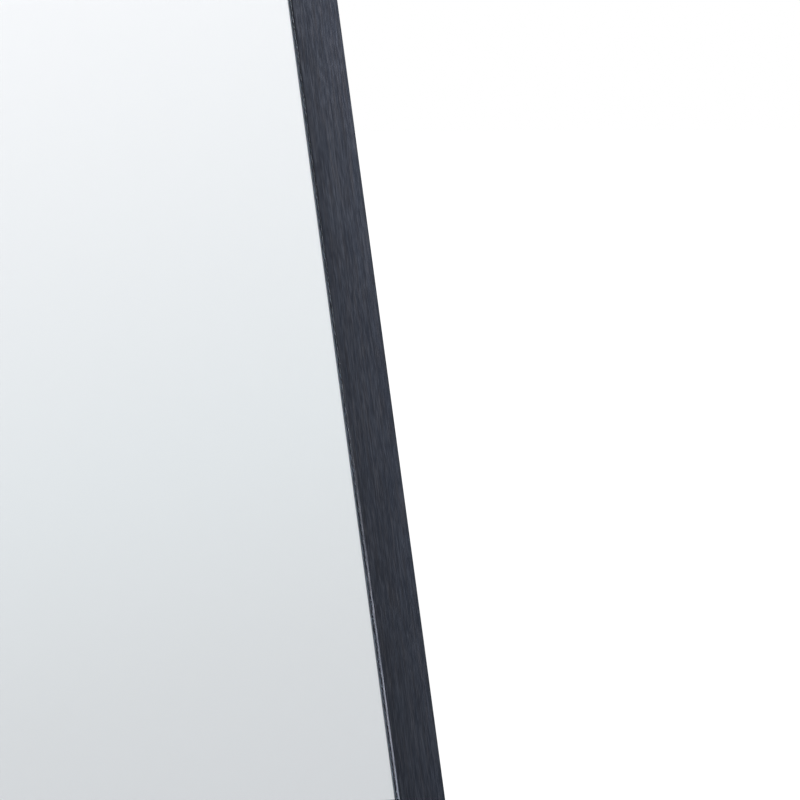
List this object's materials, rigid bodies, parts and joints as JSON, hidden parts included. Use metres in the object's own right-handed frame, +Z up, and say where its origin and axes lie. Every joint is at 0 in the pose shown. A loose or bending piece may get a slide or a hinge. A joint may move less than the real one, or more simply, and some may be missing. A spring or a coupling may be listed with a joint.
{
  "type": "full-length mirror",
  "caption": "Free-standing full-length mirror: tall silvered glass in a slim black brushed-aluminium frame that leans back on a hinged fold-out rear leg.",
  "frame": {"origin": "on the floor, at the middle of the standing mirror's bounding box", "axes": "+Z up, +X to the right seen from the front, +Y backwards: the glass faces -Y and leans back"},
  "size_m": [0.4, 0.4793, 1.3617],
  "materials": {
    "black_frame": "black anodised, brushed lengthwise",
    "die_cast_key": "raw die casting",
    "mirror_glass": "polished float glass",
    "glazing_tape": "grey foam tape",
    "silver_film": "silvered, with a safety film",
    "foam_sheet": "closed-cell foam",
    "backing_board": "smooth-faced hardboard",
    "spring_steel": "blued spring steel",
    "zinc_steel": "bright zinc plate",
    "zinc_plate": "pressed, zinc plated",
    "rivet_steel": "burnished",
    "black_steel": "black powder coat, fine texture",
    "black_nylon": "moulded, fine grain",
    "white_nylon": "moulded, natural",
    "black_rubber": "moulded, matt"
  },
  "bodies": {
    "frame": {"backing_board": "backing_board", "bottom_left_corner_key": "die_cast_key", "bottom_rail": "black_frame", "bottom_right_corner_key": "die_cast_key", "bow_springs": "spring_steel", "corner_screws": "zinc_steel", "foam_sheet": "foam_sheet", "glazing_tape": "glazing_tape", "hanger_screws": "zinc_steel", "hinge_screws": "zinc_steel", "hinge_washers": "white_nylon", "left_front_foot": "black_rubber", "left_hanger_plate": "zinc_plate", "left_hinge_bracket": "black_steel", "left_hinge_pin": "zinc_steel", "left_nut_plate": "zinc_steel", "left_stile": "black_frame", "mirror_glass": "mirror_glass", "pin_clips": "spring_steel", "right_front_foot": "black_rubber", "right_hanger_plate": "zinc_plate", "right_hinge_bracket": "black_steel", "right_hinge_pin": "zinc_steel", "right_nut_plate": "zinc_steel", "right_stile": "black_frame", "silver_film": "silver_film", "top_left_corner_key": "die_cast_key", "top_rail": "black_frame", "top_right_corner_key": "die_cast_key"},
    "leg": {"left_leg_foot": "black_rubber", "left_leg_head": "black_nylon", "leg_rivets": "rivet_steel", "leg_tube": "black_steel", "right_leg_foot": "black_rubber", "right_leg_head": "black_nylon"}
  },
  "joints": [
    {"name": "leg_fold", "type": "hinge", "parent": "frame", "child": "leg", "pos_m": [0, 0.02998, 0.86897], "axis": [1, 0, 0], "range_deg": [-28, 0]}
  ]
}
